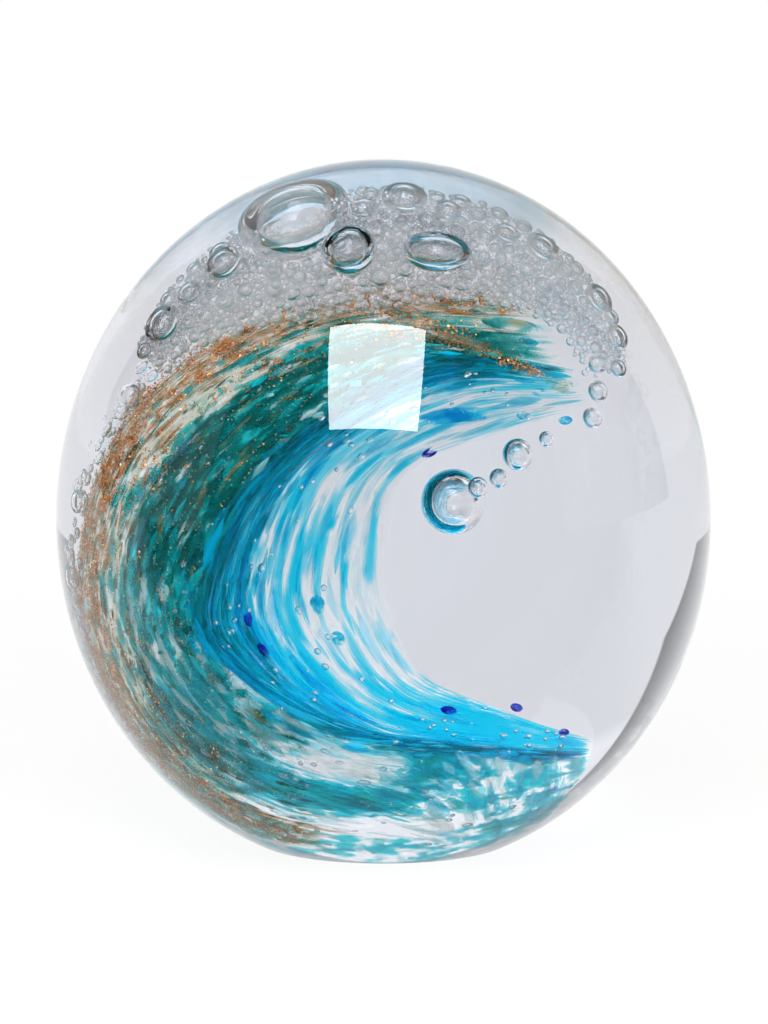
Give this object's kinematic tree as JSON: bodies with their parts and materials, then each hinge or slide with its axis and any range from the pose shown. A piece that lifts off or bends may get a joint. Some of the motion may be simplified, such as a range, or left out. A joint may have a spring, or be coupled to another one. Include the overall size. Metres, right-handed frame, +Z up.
{
  "type": "glass paperweight",
  "caption": "Solid clear glass globe with a flat foot, enclosing a curling wave of blue, teal and copper-flecked glass under bubble froth. It rests on its foot and holds down papers.",
  "frame": {"origin": "middle of the flat foot, on the surface that the paperweight rests on", "axes": "+Z up through the top of the globe; -Y to the front, from which the wave curls over to the right (+X)"},
  "size_m": [0.0898, 0.0898, 0.0939],
  "materials": {
    "azure_glass": "bright azure glass drawn out in streaks",
    "blue_glass": "clear bright blue glass",
    "bubble_froth": "clear glass crowded with fine bubbles",
    "clear_glass": "clear soda-lime glass, fire-polished outside, ground and polished flat under the foot",
    "cobalt_glass": "cobalt blue glass chip",
    "copper_aventurine": "glass full of glittering copper flakes",
    "gold_aventurine": "pale gold flakes in a clear thread",
    "olive_glass": "olive and white streaked glass",
    "pale_blue_glass": "pale blue and white streaked glass, fading to clear",
    "teal_glass": "deep teal glass, streaked and slightly rippled",
    "trapped_air": "air in smooth-walled glass",
    "turquoise_glass": "clear turquoise glass drop"
  },
  "bodies": {
    "root": {"azure_skin": "azure_glass", "blue_drop_1": "blue_glass", "blue_drop_2": "blue_glass", "blue_drop_3": "blue_glass", "blue_tongue": "blue_glass", "clear_casing": "clear_glass", "cobalt_chip_1": "cobalt_glass", "cobalt_chip_2": "cobalt_glass", "cobalt_chip_3": "cobalt_glass", "cobalt_chip_4": "cobalt_glass", "cobalt_chip_5": "cobalt_glass", "cobalt_chip_6": "cobalt_glass", "cobalt_chip_7": "cobalt_glass", "copper_aventurine_band": "copper_aventurine", "copper_tail_high": "copper_aventurine", "copper_tail_low": "copper_aventurine", "crest_bubble_1": "trapped_air", "crest_bubble_2": "trapped_air", "crest_bubble_3": "trapped_air", "crest_bubble_4": "trapped_air", "crest_bubble_5": "trapped_air", "crest_bubble_6": "trapped_air", "crest_bubble_7": "trapped_air", "crest_bubble_8": "trapped_air", "crest_bubble_9": "trapped_air", "crest_fold": "clear_glass", "crest_froth": "bubble_froth", "edge_bubble_1": "trapped_air", "edge_bubble_2": "trapped_air", "edge_bubble_3": "trapped_air", "edge_bubble_4": "trapped_air", "gold_tail": "gold_aventurine", "lip_bubble_1": "trapped_air", "lip_bubble_2": "trapped_air", "lip_bubble_3": "trapped_air", "lip_bubble_4": "trapped_air", "lip_bubble_5": "trapped_air", "lip_bubble_6": "trapped_air", "lip_bubble_7": "trapped_air", "olive_streak_band": "olive_glass", "pale_streak_skin": "pale_blue_glass", "teal_skin": "teal_glass", "teal_tongue": "teal_glass", "turquoise_drop_1": "turquoise_glass", "turquoise_drop_2": "turquoise_glass", "wave_core": "clear_glass"}
  },
  "joints": []
}
